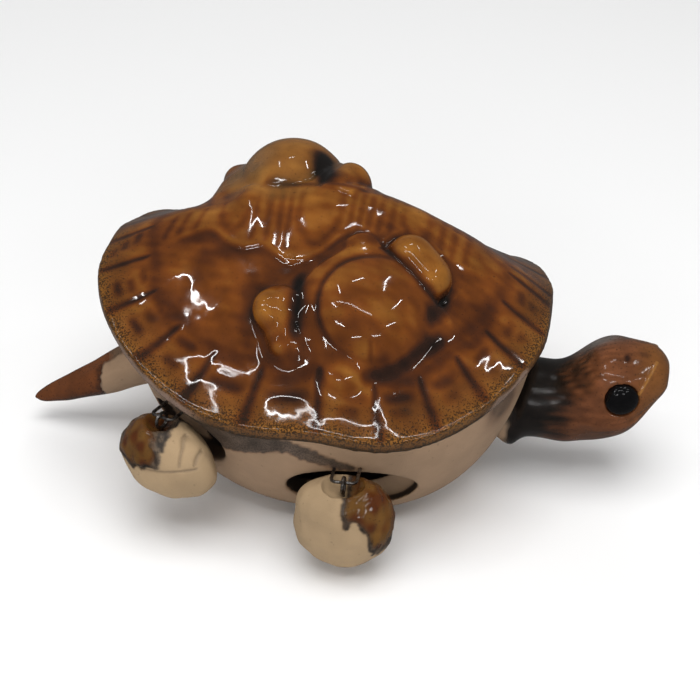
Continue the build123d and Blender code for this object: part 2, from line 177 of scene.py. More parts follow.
def srgb(red, green, blue):
    """Linear colour from red, green and blue of 0 to 255."""
    colour = np.array([red, green, blue]) / 255
    return np.where(colour < 0.04045, colour / 12.92, ((colour + 0.055) / 1.055) ** 2.4)


def shades(stops, value):
    """Colours picked along a list of (value, colour)."""
    at = [stop[0] for stop in stops]
    return np.stack([np.interp(value, at, [stop[1][i] for stop in stops]) for i in range(3)], axis=1)


def paint(piece, colour, bare, dry, speck):
    """Stores what the ceramic material reads: glaze colour, bare clay, dry glaze and specks."""
    data = np.ones((len(colour), 4), np.float32)
    data[:, :3] = np.clip(colour, 0, 1)
    piece.data.attributes.new("glaze", "FLOAT_COLOR", "POINT").data.foreach_set("color", data.ravel())
    for name, value in (("bare", bare), ("dry", dry), ("speck", speck)):
        spread = np.broadcast_to(value, len(colour)).astype(np.float32)
        piece.data.attributes.new(name, "FLOAT", "POINT").data.foreach_set("value", np.clip(spread, 0, 1))


# Glaze from thin to pooled, and where it has dried
HONEY = srgb(137, 88, 33)
AMBER = srgb(103, 55, 18)
BROWN = srgb(75, 38, 15)
UMBER = srgb(46, 26, 17)
BLACK = srgb(18, 14, 12)
OLIVE = srgb(98, 67, 30)
MAUVE = srgb(124, 103, 90)
SLATE = srgb(86, 71, 60)


# Materials

def new_material(name):
    made = bpy.data.materials.new(name)
    made.use_nodes = True
    made.node_tree.nodes.clear()
    return made, made.node_tree


def node(tree, kind, **settings):
    made = tree.nodes.new("ShaderNode" + kind)
    for key, value in settings.items():
        setattr(made, key, value)
    return made


def noise(tree, coordinates, scale, detail=3.0, roughness=0.55):
    made = node(tree, "TexNoise")
    made.inputs["Scale"].default_value = scale
    made.inputs["Detail"].default_value = detail
    made.inputs["Roughness"].default_value = roughness
    tree.links.new(coordinates, made.inputs["Vector"])
    return made.outputs["Fac"]


def remap(tree, value, low, high, out_low, out_high):
    made = node(tree, "MapRange", interpolation_type="SMOOTHSTEP")
    tree.links.new(value, made.inputs["Value"])
    for key, number in (("From Min", low), ("From Max", high), ("To Min", out_low), ("To Max", out_high)):
        made.inputs[key].default_value = number
    return made.outputs["Result"]


def calc(tree, operation, first, second):
    made = node(tree, "Math", operation=operation)
    for socket, value in zip(made.inputs, (first, second)):
        if isinstance(value, (int, float)):
            socket.default_value = value
        else:
            tree.links.new(value, socket)
    return made.outputs["Value"]


def blend_colour(tree, share, first, second, kind="MIX"):
    made = node(tree, "Mix", data_type="RGBA", blend_type=kind)
    for socket, value in ((made.inputs[0], share), (made.inputs[6], first), (made.inputs[7], second)):
        if isinstance(value, (int, float)):
            socket.default_value = value
        elif isinstance(value, tuple):
            socket.default_value = (*value, 1)
        else:
            tree.links.new(value, socket)
    return made.outputs[2]


def blend_value(tree, share, first, second):
    made = node(tree, "Mix", data_type="FLOAT")
    for socket, value in ((made.inputs[0], share), (made.inputs[2], first), (made.inputs[3], second)):
        if isinstance(value, (int, float)):
            socket.default_value = value
        else:
            tree.links.new(value, socket)
    return made.outputs[0]


def attribute(tree, name, output):
    return node(tree, "Attribute", attribute_name=name).outputs[output]


def bumped(tree, height, strength, distance):
    """Normal of a surface raised by height times distance."""
    made = node(tree, "Bump")
    made.inputs["Strength"].default_value = strength
    made.inputs["Distance"].default_value = distance
    tree.links.new(height, made.inputs["Height"])
    return made.outputs["Normal"]


def finished(made, shader):
    """The material, with its shader joined to its output."""
    tree = made.node_tree
    tree.links.new(shader.outputs["BSDF"], node(tree, "OutputMaterial").inputs["Surface"])
    return made


# Patterns in glaze and clay, in lumps per metre
CLOUD_SCALE = 160
GRAIN_SCALE = 3000
SHEEN_SCALE = 420
WAVE_SCALE = 210
BLOTCH_SCALE = 90
PIT_SCALE = 900
TOOTH_SCALE = 2600
# Colours, gloss and relief of glaze and clay
SPECK = srgb(34, 26, 18)
DUST = srgb(48, 40, 32)
GLAZE_IOR = 1.52
GLOSSY = (0.03, 0.08)
DRY_ROUGHNESS = 0.6
CLAY_ROUGHNESS = 0.86
GLAZE_WAVES = 0.2
CLAY_TOOTH = 0.5


def ceramic(name, clay):
    """Flowing glaze over bare clay: the piece's attributes hold its colour and its dry and bare places."""
    made, tree = new_material(name)
    place = node(tree, "TexCoord").outputs["Object"]
    glaze = attribute(tree, "glaze", "Color")
    bare = attribute(tree, "bare", "Fac")
    dry = attribute(tree, "dry", "Fac")
    speck = attribute(tree, "speck", "Fac")

    cloud = remap(tree, noise(tree, place, CLOUD_SCALE, 4), 0.3, 0.7, 0.8, 1.16)
    mottled = blend_colour(tree, 1.0, glaze, cloud, "MULTIPLY")
    grain = noise(tree, place, GRAIN_SCALE, 2, 0.6)
    crowded = calc(tree, "ADD", grain, calc(tree, "MULTIPLY", speck, 0.22))
    specks = remap(tree, crowded, 0.64, 0.74, 0, 0.85)
    glazed = blend_colour(tree, specks, mottled, tuple(SPECK))
    dust = calc(tree, "MULTIPLY", remap(tree, grain, 0.4, 0.62, 0, 0.7), dry)
    dusty = blend_colour(tree, dust, glazed, tuple(DUST))

    blotch = remap(tree, noise(tree, place, BLOTCH_SCALE, 4), 0.3, 0.7, 0.86, 1.08)
    clay_colour = blend_colour(tree, 1.0, tuple(clay), blotch, "MULTIPLY")
    pits = remap(tree, noise(tree, place, PIT_SCALE, 2), 0.67, 0.74, 0, 0.45)
    pitted = blend_colour(tree, pits, clay_colour, tuple(clay * 0.55))
    colour = blend_colour(tree, bare, dusty, pitted)

    sheen = remap(tree, noise(tree, place, SHEEN_SCALE, 3), 0.3, 0.7, *GLOSSY)
    worn = blend_value(tree, dry, sheen, DRY_ROUGHNESS)
    roughness = blend_value(tree, bare, worn, CLAY_ROUGHNESS)

    waves = calc(tree, "MULTIPLY", noise(tree, place, WAVE_SCALE, 2), GLAZE_WAVES)
    coarse = noise(tree, place, TOOTH_SCALE, 3, 0.7)
    tooth = calc(tree, "MULTIPLY", coarse, calc(tree, "MAXIMUM", bare, dry))
    height = calc(tree, "ADD", waves, calc(tree, "MULTIPLY", tooth, CLAY_TOOTH))

    shader = node(tree, "BsdfPrincipled")
    tree.links.new(colour, shader.inputs["Base Color"])
    tree.links.new(roughness, shader.inputs["Roughness"])
    tree.links.new(bumped(tree, height, 0.5, 0.3 * MM), shader.inputs["Normal"])
    shader.inputs["IOR"].default_value = GLAZE_IOR
    return finished(made, shader)


EYE_BLACK = srgb(4, 4, 5)
EYE_SMOKE = srgb(12, 11, 12)
EYE_SPECULAR = 0.3


def eye_glaze():
    made, tree = new_material("eye_glaze")
    place = node(tree, "TexCoord").outputs["Object"]
    colour = blend_colour(tree, noise(tree, place, 900, 3), tuple(EYE_BLACK), tuple(EYE_SMOKE))
    roughness = remap(tree, noise(tree, place, 700, 2), 0.3, 0.7, 0.06, 0.16)
    shader = node(tree, "BsdfPrincipled")
    tree.links.new(colour, shader.inputs["Base Color"])
    tree.links.new(roughness, shader.inputs["Roughness"])
    shader.inputs["Specular IOR Level"].default_value = EYE_SPECULAR
    tree.links.new(bumped(tree, noise(tree, place, 500, 2), 0.35, 0.2 * MM), shader.inputs["Normal"])
    return finished(made, shader)


BRIGHT_STEEL = srgb(150, 148, 146)
TARNISHED_STEEL = srgb(86, 78, 72)


def wire_steel():
    made, tree = new_material("wire_steel")
    place = node(tree, "TexCoord").outputs["Object"]
    tarnish = noise(tree, place, 1500, 4)
    dull = remap(tree, tarnish, 0.35, 0.65, 0, 1)
    colour = blend_colour(tree, dull, tuple(BRIGHT_STEEL), tuple(TARNISHED_STEEL))
    shader = node(tree, "BsdfPrincipled")
    shader.inputs["Metallic"].default_value = 1.0
    tree.links.new(colour, shader.inputs["Base Color"])
    tree.links.new(remap(tree, tarnish, 0.3, 0.7, 0.28, 0.5), shader.inputs["Roughness"])
    tree.links.new(bumped(tree, noise(tree, place, 4000, 2), 0.3, 0.05 * MM), shader.inputs["Normal"])
    return finished(made, shader)


BODY_CLAY = srgb(146, 120, 95)
FOOT_CLAY = srgb(158, 134, 103)
BODY_CERAMIC = ceramic("body_ceramic", BODY_CLAY)
FOOT_CERAMIC = ceramic("foot_ceramic", FOOT_CLAY)
EYE_GLAZE = eye_glaze()
WIRE_STEEL = wire_steel()


# Shell: carved scutes, baby turtles, glaze that pools in the hollows, bare belly

SHELL_REAR = 48.4
SHELL_FRONT = 42.6
SHELL_HALF_WIDTH = 39.2
SHELL_SQUARENESS = 2.5
RIDGE_TOP = 62.5
RIDGE_REAR = 47.6
RIDGE_FRONT = 40.2
RIDGE_ROUNDING = 4.0
SIDE_DROP = 32.0
END_SLOPE = 0.2
FLANK_BULGE = 1.6


def shell_reach(x):
    return np.where(x < 0, SHELL_REAR, SHELL_FRONT)


def roof_height(x, y):
    """Height of the carapace without its carving."""
    share = np.clip(np.abs(x) / shell_reach(x), 0, 1.1)
    ridge = RIDGE_TOP - (RIDGE_TOP - np.where(x < 0, RIDGE_REAR, RIDGE_FRONT)) * share ** 1.5
    run = np.hypot(y, RIDGE_ROUNDING) - RIDGE_ROUNDING
    middle_slope = SIDE_DROP / (math.hypot(SHELL_HALF_WIDTH, RIDGE_ROUNDING) - RIDGE_ROUNDING)
    steepness = 1 - share ** 2.35
    slope = END_SLOPE + (middle_slope - END_SLOPE) * steepness
    bulge = FLANK_BULGE * steepness * np.sin(math.pi * np.abs(y) / SHELL_HALF_WIDTH) ** 2
    return ridge - slope * run + bulge


def outline_share(x, y):
    """0 in the middle of the carapace, 1 on its rim."""
    along = np.abs(x) / shell_reach(x)
    across = np.abs(y) / SHELL_HALF_WIDTH
    return (along ** SHELL_SQUARENESS + across ** SHELL_SQUARENESS) ** (1 / SHELL_SQUARENESS)


def outline_angle(x, y):
    """Bearing from the nose, 0 to 180 degrees on both sides."""
    return np.degrees(np.arctan2(np.abs(y) / SHELL_HALF_WIDTH, x / shell_reach(x)))


# Carved plates: seams along the rim by bearing, marks on them, and lines drawn once for both halves
MARGINAL_SEAMS = [3, 17, 31, 45, 58, 72, 88, 105, 119, 132, 146, 161, 175]
Mark = namedtuple("Mark", "bearing share half_length depth")
MARGINAL_MARKS = [
    Mark(168, 0.945, 1.6, 0.7), Mark(170, 0.900, 1.7, 0.8), Mark(171, 0.848, 1.9, 0.9),
    Mark(152, 0.925, 2.3, 1.0), Mark(152, 0.872, 1.9, 0.8), Mark(153, 0.818, 2.1, 0.7),
    Mark(139, 0.918, 2.1, 1.0), Mark(140, 0.852, 1.6, 0.6), Mark(140, 0.802, 1.4, 0.5),
    Mark(127, 0.905, 1.7, 0.8), Mark(127, 0.820, 2.2, 1.0),
    Mark(112, 0.876, 3.2, 1.0), Mark(114, 0.834, 1.8, 0.5), Mark(112, 0.790, 2.4, 0.5),
    Mark(96, 0.881, 3.4, 1.0), Mark(97, 0.826, 2.2, 0.5),
    Mark(80, 0.902, 1.9, 0.7), Mark(79, 0.852, 3.0, 0.9),
    Mark(65, 0.850, 2.8, 0.9), Mark(66, 0.902, 1.9, 0.5),
    Mark(52, 0.842, 2.3, 0.7), Mark(51, 0.902, 1.7, 0.5),
    Mark(38, 0.843, 2.0, 0.9), Mark(38, 0.905, 1.6, 0.5),
    Mark(24, 0.860, 2.0, 0.7), Mark(24, 0.915, 1.6, 0.5),
    Mark(10, 0.862, 1.8, 0.7), Mark(10, 0.915, 1.5, 0.5),
]
MARGINAL_INNER = 0.775
VERTEBRAL_EDGE = [
    (-40, 10), (-36, 9.4), (-31, 7.8), (-27.5, 7.2), (-25, 7.4), (-21.6, 9.8), (-18, 11.8),
    (-15.5, 11.8), (-13.2, 12.0), (-8.6, 15), (-5.6, 15.3), (-2.8, 14.6), (-0.2, 13), (2.4, 10.4),
    (5, 9.0), (9, 10.5), (13, 12.0), (17, 10.4), (20, 7.4), (24, 7.6), (28, 7.0), (32, 5.6),
]
OVALS = [
    [(-23.6, 1.5), (-23.2, 5.5), (-20.6, 8.2), (-18.2, 6.2), (-17.6, 1.5)],
    [(-7.6, 1.2), (-7.4, 6.8), (-5.6, 10.6), (-3.2, 12.0), (-0.8, 10.6), (0.9, 6.8), (1.0, 1.2)],
    [(12.8, 1.2), (12.9, 4.5), (15.2, 7.2), (17.4, 4.8), (17.8, 1.2)],
]
GROWTH_LINES = [
    [(-33.5, 2.0), (-34.8, 6.6)], [(-30.6, 1.6), (-31.8, 6.2)], [(-27.6, 1.2), (-28.4, 5.8)],
    [(-16.2, 1.0), (-16.4, 9.6)], [(-13.9, 0.8), (-13.3, 10.6)], [(-11.6, 0.8), (-10.9, 11.6)],
    [(-9.6, 0.8), (-9.1, 12.4)], [(3.0, 1.0), (2.9, 9.4)], [(4.9, 1.0), (4.5, 8.2)],
    [(6.7, 1.0), (6.2, 8.6)], [(8.6, 1.0), (8.1, 9.2)], [(10.8, 1.0), (10.3, 9.6)],
    [(20.4, 1.0), (20.0, 6.2)], [(22.8, 0.8), (22.4, 6.4)], [(25.4, 0.8), (25.0, 6.0)],
]
COSTAL_SEAMS = [
    [(-26.4, 7.3), (-25.8, 13), (-27.8, 20), (-30.2, 25.8)],
    [(-14.4, 12), (-15.2, 19), (-14.4, 25), (-13.4, 29)],
    [(3.2, 9.8), (4.0, 17), (3.4, 25), (2.8, 30)],
    [(19.4, 7.8), (22.4, 14), (25.4, 20), (28, 23)],
]

# A baby turtle: its place and heading, how far it leans with the slope and is lifted off it,
# and how the glaze spreads, raises and melts it
Baby = namedtuple("Baby", "x y heading lean lift spread rise melt")
NEAR_BABY = Baby(9.0, -20.9, 61.0, 1.0, 0.0, 0.1, -0.32, 0.6)
FAR_BABY = Baby(-12.0, 10.4, -18.0, 0.0, 2.3, 0.02, 0.06, 0.35)
BABIES = [NEAR_BABY, FAR_BABY]
BABY_RIM = 12.5
BABY_GROOVE = 10.4
BABY_NECK = 10.2

# Dark glaze gathered in strokes: the line seen from above, its half width, its strength,
# and how high over the carapace it still lies
Stroke = namedtuple("Stroke", "line width strength ceiling")
DARK_STROKES = [
    Stroke([(-5.2, -18.6), (-4.8, -21.5), (-4.4, -25.0), (-4.6, -27.4)], 1.4, 1.15, 5.0),
    Stroke([(-4.4, -27.4), (-3.2, -30.0)], 1.6, 0.45, 2.5),
    Stroke([(-10.5, -21.4), (-7.5, -20.6), (-5.0, -20.4)], 1.2, 0.4, 2.5),
    Stroke([(-1.2, -15.6), (1.8, -13.6), (5.6, -11.6), (9.9, -9.6), (12.0, -9.0)], 1.5, 0.6, 2.5),
    Stroke([(9.4, -30.8), (11.1, -30.2), (14.6, -28.6), (18.0, -26.0), (22.3, -22.4)], 1.1, 1.0, 2.5),
    Stroke([(22.3, -22.1), (26.0, -19.4), (30.0, -14.6), (31.0, -11.5)], 1.5, 0.4, 2.5),
    Stroke([(22.6, -15.6), (21.6, -18.4), (20.0, -20.4)], 1.2, 1.0, 4.0),
    Stroke([(-5.2, 8.4), (-4.8, 5.6), (-3.8, 3.2), (-3.4, 2.0)], 2.3, 1.7, 9),
    Stroke([(-15.3, 1.4), (-11.7, 0.7), (-8.5, 0.4), (-4.5, 0.2), (-0.4, -0.3), (4.4, 0.4)], 0.9, 0.75, 9),
]
DRY_FLANK = [(-29.0, 4.4), (-26.3, 5.8), (-24.1, 7.3), (-21.5, 8.3), (-18.6, 6.6)]
HONEY_LOBE = [(-22.6, 5.0), (-19.5, 3.5), (-15.9, 1.9)]
HONEY_FLIPPERS = [[(2.6, -15.0), (6.2, -13.6)], [(5.6, -33.4), (9.6, -31.0)]]


def baby_axes(baby):
    """A baby turtle's foot on the shell and its directions ahead, to the left and out of the shell."""
    x, y = np.array(baby.x), baby.y
    step = 0.5
    rise_x = baby.lean * (roof_height(x + step, y) - roof_height(x - step, y)) / (2 * step)
    rise_y = baby.lean * (roof_height(x, y + step) - roof_height(x, y - step)) / (2 * step)
    out = np.array([-rise_x, -rise_y, 1.0])
    out /= np.linalg.norm(out)
    along = np.array([1.0, 0, rise_x])
    along /= np.linalg.norm(along)
    turn = math.radians(baby.heading)
    ahead = along * math.cos(turn) + np.cross(out, along) * math.sin(turn)
    foot = np.array([baby.x, baby.y, float(roof_height(x, y))]) + out * baby.lift
    return foot, np.array([ahead, np.cross(out, ahead), out])


def baby_local(place, baby):
    """Places seen from a baby turtle: ahead of it, to its left, and out of the shell."""
    foot, axes = baby_axes(baby)
    return ((place - foot) @ axes.T).T


def settle_baby(place, baby, top):
    """Places with a baby's dome spread, raised or lowered by its glaze, and how far each has melted."""
    ahead, left, out = baby_local(place, baby)
    reach = np.hypot(ahead, left)
    on_head = ramp(8.4, 10.4, ahead) * (1 - ramp(7.2, 8.4, np.abs(left))) * (1 - ramp(17, 19, ahead))
    dome = (1 - ramp(11.5, 16, reach)) * (1 - on_head) * top
    shift = np.stack([
        baby.spread * ahead * dome, baby.spread * left * dome, baby.rise * np.clip(out, 0, None) * dome,
    ], axis=1)
    near = 1 - ramp(18, 23, reach)
    softness = baby.melt + (1 - baby.melt) * ramp(9, 12, reach)
    melted = near * softness * (1 - 0.75 * on_head)
    return place + shift @ baby_axes(baby)[1], melted * top


def marginal_lines(x, y):
    """Seams between the plates along the rim and the soft ovals on each of them, 0 to about 1."""
    share = outline_share(x, y)
    angle = outline_angle(x, y)
    radius = np.hypot(x, y)
    lines = np.zeros(len(x))
    in_margin = ramp(MARGINAL_INNER - 0.02, MARGINAL_INNER + 0.03, share) * (1 - ramp(0.985, 1.01, share))
    for seam in MARGINAL_SEAMS:
        off = np.radians(np.abs(angle - seam)) * radius
        width = 0.65 + 0.35 * ramp(MARGINAL_INNER, 0.97, share)
        lines = np.maximum(lines, in_margin * np.exp(-(off / width) ** 2))
    wavy = share - MARGINAL_INNER - 0.012 * np.sin(np.radians(angle) * 13)
    ring = np.abs(wavy) * radius / np.maximum(share, 0.1)
    lines = np.maximum(lines, 0.4 * np.exp(-(ring / 1.4) ** 2))
    rng = np.random.default_rng(3)
    for side in (-1, 1):
        for mark in MARGINAL_MARKS:
            bearing = mark.bearing + rng.uniform(-0.6, 0.6)
            across = (share - mark.share) * radius / np.maximum(share, 0.1)
            along = np.radians(np.abs(angle - bearing)) * radius / mark.half_length
            oval = 0.85 * mark.depth * np.exp(-along ** 4 - across ** 2) * (y * side > 0)
            lines = np.maximum(lines, oval)
    return lines


def beyond_ridge_plates(x, y):
    """How far a place lies outside the scalloped edge of the plates along the ridge."""
    path = flowing(VERTEBRAL_EDGE)
    return np.abs(y) - np.interp(x, [p[0] for p in path], [p[1] for p in path])


def ridge_lines(x, y):
    """Growth lines and ovals on the plates along the ridge, and the seams that run down from them."""
    lines = np.zeros(len(x))
    aside = np.abs(y)
    for drawn, width, depth in ((OVALS, 0.9, 0.7), (GROWTH_LINES, 0.75, 0.75), (COSTAL_SEAMS, 1.4, 0.4)):
        for line in drawn:
            lines = np.maximum(lines, depth * stroke(line, width, x, aside))
    return lines * (outline_share(x, y) < MARGINAL_INNER)


def baby_grooves(place, baby):
    """Line carved inside a baby's shell rim, deepest on its left, and the crease behind its head."""
    ahead, left, out = baby_local(place, baby)
    radius = np.hypot(ahead, left)
    bearing = np.arctan2(left, ahead)
    ring = np.exp(-((radius - BABY_GROOVE) / 0.6) ** 2) * (0.5 + 0.5 * np.cos(bearing - 2.0))
    neck = np.exp(-((ahead - BABY_NECK) / 0.9) ** 2) * (np.abs(left) < 8)
    return np.maximum(ring, neck) * (out > 0.5) * (radius < BABY_RIM + 1)


# Dry glaze run down the belly's sides: along the shell, its lower and its upper edge
BELLY_BAND_RIGHT = [
    (-36, 30.5, 34), (-28, 26, 34), (-22, 21.5, 34), (-16.4, 20.4, 33.4), (-12, 21.8, 31.6),
    (-8, 22.9, 28.6), (-4, 22.9, 26.8), (0, 21.8, 25.2), (4, 20.6, 23.6), (8, 20.0, 22), (11, 19.9, 20.8),
]
BELLY_BAND_LEFT = [
    (-32, 29.5, 33), (-24, 25.5, 32), (-14, 24.2, 29), (-4, 24.4, 27), (8, 25, 27.2), (17, 26.6, 27.6),
]


def belly_band(band, x, z, shift):
    """1 inside a band of dry glaze, with its edges shifted."""
    at = [row[0] for row in band]
    low = np.interp(x, at, [row[1] for row in band])
    high = np.interp(x, at, [row[2] for row in band])
    within = np.minimum(z - low, high - z)
    return ramp(-0.3, 0.5, within + shift) * ramp(at[0], at[0] + 3, x) * (1 - ramp(at[-1] - 1, at[-1], x))


SHELL_VOXEL = 0.4
SHELL_SOFTENING = 5
MELT_ROUNDS = 260
FINE_ROUNDS = 10
BROAD_ROUNDS = 160
PLATE_DEPTH = 0.06
LINE_DEPTH = 0.03
CREASE_DEPTH = 0.25
LEDGE_DEPTH = 0.35
PLATE_SHADE = 0.86
LINE_SHADE = 0.5
CREASE_SHADE = 0.55
LEDGE_SHADE = 0.36
GLAZE_SHADES = [(-0.6, HONEY), (0.0, AMBER), (0.4, BROWN), (0.85, UMBER), (1.35, BLACK)]
FAR_BABY_HONEY = srgb(142, 104, 52)
FLANK_CLAY = srgb(118, 92, 66)
EDGE_BROWN = srgb(70, 48, 25)
# Painted shade for the walls of the hollow body
HOLLOW_SHADE_BROWN = srgb(46, 34, 26)

Site = namedtuple("Site", "x y z above share angle top on_baby")
Carving = namedtuple("Carving", "plates lines creases ledge ledge_fade shadow gathered")


def shell_site(place):
    """Where each point of the shell lies: over the carapace, towards its rim, on a baby or not."""
    x, y, z = place.T
    above = z - roof_height(x, y)
    share = outline_share(x, y)
    top = ramp(-1.6, -0.5, above) * (share < 1.03)
    return Site(x, y, z, above, share, outline_angle(x, y), top, ramp(0.6, 1.6, above))


def melt_babies(piece, site):
    """Softens the babies and the ridge as thick glaze does, and gives the points' new places."""
    place = points(piece)
    melted = 0.25 * np.exp(-(site.y / 4) ** 2) * site.top
    for baby in BABIES:
        place, baby_melted = settle_baby(place, baby, site.top)
        melted = np.maximum(melted, baby_melted)
    place = mix(place, relax(place, edges(piece), MELT_ROUNDS), melted)
    put_points(piece, place)
    return place


def gathered_glaze(place, top):
    """Dark glaze lying in strokes, each up to its ceiling."""
    x, y, z = place.T
    standing = z - roof_height(x, y)
    gathered = np.zeros(len(place))
    for dark in DARK_STROKES:
        low = 1 - ramp(dark.ceiling - 1, dark.ceiling + 1, standing)
        deep = stroke(dark.line, dark.width, x, y) * low
        gathered = np.maximum(gathered, dark.strength * deep * top)
    return gathered


def carve_shell(piece, place, site):
    """Presses plates, lines, creases and ledges into the shell, and says where they are."""
    plates = marginal_lines(site.x, site.y) * site.top
    lines = ridge_lines(site.x, site.y) * site.top * (1 - site.on_baby)
    creases = np.zeros(len(place))
    for baby in BABIES:
        creases = np.maximum(creases, baby_grooves(place, baby) * site.top)
    beyond = beyond_ridge_plates(site.x, site.y)
    ledge_fade = (1 - ramp(0.55, MARGINAL_INNER, site.share)) * site.top * (1 - site.on_baby)
    ledge = ramp(-1.0, 0.8, beyond) * ledge_fade
    # Painted shadow just outside the scalloped ledge of the ridge plates
    shadow = np.exp(-((beyond - 0.5) / np.where(beyond > 0.5, 2.6, 0.9)) ** 2) * ledge_fade
    lumps = wobble(place, 18, 11) * 0.16 + wobble(place, 8, 12) * 0.025
    depth = PLATE_DEPTH * plates + LINE_DEPTH * lines + CREASE_DEPTH * creases + LEDGE_DEPTH * ledge
    depth = depth - lumps * site.top
    put_points(piece, place - normals(piece) * depth[:, None])
    return Carving(plates, lines, creases, ledge, ledge_fade, shadow, gathered_glaze(place, site.top))


def pooled_glaze(piece, site, carving):
    """Colour of the glaze: honey where thin, towards black where pooled in hollows and lines; painted
    shadow under the ledge.
    """
    fine = np.clip(hollowness(piece, FINE_ROUNDS) / 0.16, -1, 1)
    broad = np.clip(hollowness(piece, BROAD_ROUNDS) / 0.9, -1, 1)
    place = points(piece)
    cloud = 0.16 * wobble(place, 11, 5) + 0.12 * wobble(place * np.array([1, 1.8, 1]), 5, 6)
    pool = 0.1 + 0.6 * broad + 0.2 * fine + cloud
    pool += np.maximum.reduce([
        PLATE_SHADE * carving.plates, LINE_SHADE * carving.lines, CREASE_SHADE * carving.creases,
        LEDGE_SHADE * carving.shadow, carving.gathered,
    ])
    raised = 0.25 * (1 - carving.ledge) * carving.ledge_fade
    margin = 0.1 * ramp(0.76, 0.84, site.share) * site.top * (1 - site.on_baby)
    pool -= raised + margin
    pool -= 0.5 * stroke(HONEY_LOBE, 1.6, site.x, site.y) * site.top
    for line in HONEY_FLIPPERS:
        pool -= 0.55 * stroke(line, 1.9, site.x, site.y) * site.top
    far_baby = 1 - ramp(11, 15, np.hypot(site.x - FAR_BABY.x, site.y - FAR_BABY.y))
    thin = 0.35 * far_baby * site.top * (1 - np.clip(carving.gathered, 0, 1))
    return mix(shades(GLAZE_SHADES, pool), FAR_BABY_HONEY, thin)


def flank_dryness(piece, site):
    """Dry patch behind the far baby, on its gentle slope only."""
    level = ramp(0.25, 0.6, normals(piece)[:, 2])
    patch = stroke(DRY_FLANK, 3.0, site.x, site.y) * site.top * ramp(0.8, 2.2, site.above) * level
    return patch * (0.75 + 0.25 * wobble(points(piece), 4, 7))


def rim_edge(place, site):
    """The rim's standing edge, its lower half, and where the glaze has worn off it on the right."""
    above = site.above
    angle = site.angle
    edge = ramp(-3.4, -2.6, above) * (1 - ramp(-0.9, 0.1, above)) * ramp(0.9, 0.95, site.share)
    low_edge = edge * (1 - ramp(-2.2, -1.0, above))
    ragged = above + 0.5 * wobble(place, 5, 22)
    rear_patch = ramp(112, 120, angle) * (1 - ramp(158, 166, angle))
    front_patch = ramp(27, 31, angle) * (1 - ramp(42, 47, angle))
    worn = edge * (1 - ramp(-1.3, -0.7, ragged)) * (site.y < 0) * (rear_patch + front_patch)
    return edge, low_edge, worn


def belly_glaze(piece, place, site):
    """Where the shell is belly, where dry glaze has run down it, and where it is a wall of the hollow, in
    painted shade.
    """
    x, y, z = site.x, site.y, site.z
    under = 1 - ramp(-3.3, -2.5, site.above + 0.35 * wobble(place, 4, 21))
    shift = 0.5 * wobble(place, 6, 29) + 0.25 * wobble(place, 1.5, 31)
    on_right = belly_band(BELLY_BAND_RIGHT, x, z, shift)
    on_left = belly_band(BELLY_BAND_LEFT, x, z, shift)
    run = np.where(y < 0, on_right, on_left) * under * (np.abs(y) > 12)
    smear = np.exp(-(((x - 35) / 2.6) ** 2 + ((z - 29) / 4.5) ** 2 + ((y + 22) / 6) ** 2)) * under
    run = np.maximum(run, np.clip(1.5 * smear, 0, 0.8))
    facing = normals(piece)
    outward = (facing[:, 0] * x + facing[:, 1] * y) / np.maximum(np.hypot(x, y), 1)
    # Walls facing into the hollow: painted shade, as little light reaches them there
    inside = (1 - ramp(0.0, 0.3, outward)) * (facing[:, 2] > -0.85) * under
    return under, run, inside


def make_shell():
    piece = skin("shell_body", "shell", SHELL_VOXEL, SHELL_SOFTENING)
    site = shell_site(points(piece))
    carving = carve_shell(piece, melt_babies(piece, site), site)
    place = points(piece)
    dry_flank = flank_dryness(piece, site)
    edge, low_edge, worn = rim_edge(place, site)
    under, run, inside = belly_glaze(piece, place, site)

    brim = ramp(0.8, 0.95, site.share) * site.top * (1 - site.on_baby)
    colour = pooled_glaze(piece, site, carving)
    colour = mix(colour, FLANK_CLAY, 0.8 * dry_flank)
    colour = mix(colour, OLIVE, 0.4 * brim * (1 - np.clip(1.4 * carving.plates, 0, 1)))
    colour = mix(colour, EDGE_BROWN, 0.5 * edge + 0.5 * low_edge)
    colour = mix(colour, MAUVE, worn)
    colour = mix(colour, SLATE * (1 + 0.25 * wobble(place, 3, 33))[:, None], run)
    # Painted shade on the walls of the hollow
    colour = mix(colour, HOLLOW_SHADE_BROWN, inside)

    bare = under * (1 - run) * (1 - inside)
    dry = np.maximum.reduce([0.85 * run, 0.6 * edge * (1 - worn), 0.3 * worn, 0.6 * dry_flank, inside])
    rim_specks = 0.4 * ramp(0.82, 0.96, site.share) * site.top
    rim_specks += 0.5 * ramp(0.93, 0.99, site.share) * site.top
    speck = np.maximum(0.5 * edge + 0.5 * low_edge, rim_specks) * (1 - worn)
    paint(piece, colour, bare, dry, speck)
    piece.data.materials.append(BODY_CERAMIC)
    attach(piece, "shell")


make_shell()


# Head, with the neck dark and the snout amber

HEAD_BROWN = srgb(98, 58, 34)
SNOUT_AMBER = srgb(122, 78, 34)
RIDGE_HONEY = srgb(150, 104, 50)
JAW_BROWN = srgb(82, 54, 38)
JAW_STREAK = srgb(50, 40, 34)
# Grey of the painted reflection on the crown
CROWN_SHEEN_GREY = srgb(112, 107, 103)
HEAD_SPECKS = 0.15
HEAD_VOXEL = 0.3
HEAD_SOFTENING = 4
HEAD_RIDGE = [(64.6, 30.2), (63.7, 29.5), (62.0, 27.0), (60.6, 24.4)]
NOSTRIL = (58.2, 4.1)
SMUDGE = (61.6, 2.4)
BROW = (58, 28.2)
CROWN = (53, 3.2)
SNOUT_TOP = 27
MOUTH = [(66.4, 22.9), (63.5, 21.0), (60.0, 19.2), (56.5, 18.0)]


